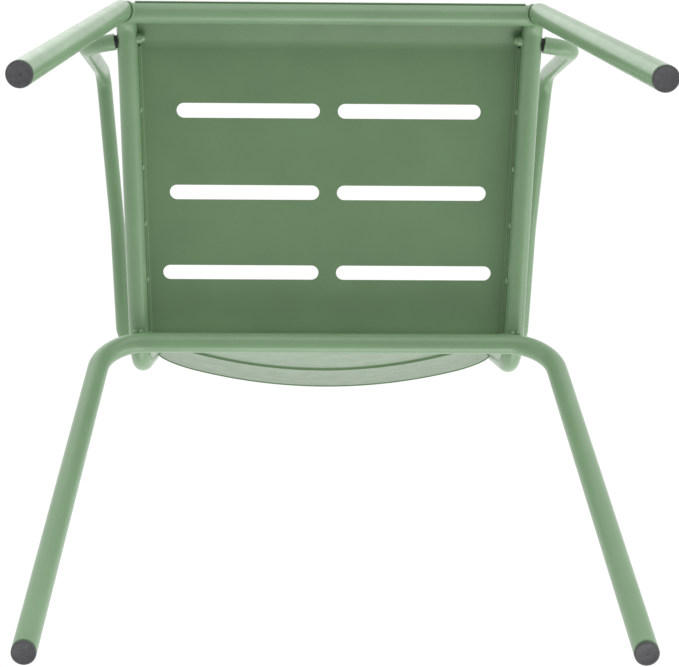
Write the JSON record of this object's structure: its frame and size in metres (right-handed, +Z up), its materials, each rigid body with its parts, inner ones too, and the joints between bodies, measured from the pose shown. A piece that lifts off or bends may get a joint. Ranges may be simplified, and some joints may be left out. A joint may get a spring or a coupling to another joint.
{
  "type": "stacking chair",
  "caption": "Stacking armchair: bent round-tube frame, slotted sheet seat, curved two-slat back, bolted tube arms and plastic foot plugs.",
  "frame": {"origin": "on the floor under the middle of the chair's bounding box", "axes": "+Z up, front of the chair towards -Y, chair's left as seen from the front at -X"},
  "size_m": [0.556, 0.5378, 0.8279],
  "materials": {
    "frame_paint": "satin sage-green powder coat with fine orange peel",
    "sheet_paint": "satin sage-green powder coat on pressed sheet",
    "plug_plastic": "matt dark grey moulded plastic",
    "spacer_rubber": "matt black"
  },
  "bodies": {
    "root": {"side_frame_left": "frame_paint", "side_frame_right": "frame_paint", "front_cross_tube": "frame_paint", "rear_leg_frame": "frame_paint", "seat_pan": "sheet_paint", "back_slat_lower": "sheet_paint", "back_slat_upper": "sheet_paint", "armrest_left": "frame_paint", "arm_spacer_front_left": "spacer_rubber", "arm_bolt_front_left": "frame_paint", "foot_plug_front_left": "plug_plastic", "crossbar_weld_front_left": "frame_paint", "arm_spacer_rear_left": "spacer_rubber", "arm_bolt_rear_left": "frame_paint", "foot_plug_rear_left": "plug_plastic", "crossbar_weld_rear_left": "frame_paint", "upright_plug_left": "plug_plastic", "seat_tack_left_1": "frame_paint", "seat_tack_left_2": "frame_paint", "seat_tack_left_3": "frame_paint", "seat_tack_left_4": "frame_paint", "seat_tack_left_5": "frame_paint", "armrest_right": "frame_paint", "arm_spacer_front_right": "spacer_rubber", "arm_bolt_front_right": "frame_paint", "foot_plug_front_right": "plug_plastic", "crossbar_weld_front_right": "frame_paint", "arm_spacer_rear_right": "spacer_rubber", "arm_bolt_rear_right": "frame_paint", "foot_plug_rear_right": "plug_plastic", "crossbar_weld_rear_right": "frame_paint", "upright_plug_right": "plug_plastic", "seat_tack_right_1": "frame_paint", "seat_tack_right_2": "frame_paint", "seat_tack_right_3": "frame_paint", "seat_tack_right_4": "frame_paint", "seat_tack_right_5": "frame_paint"}
  },
  "joints": []
}
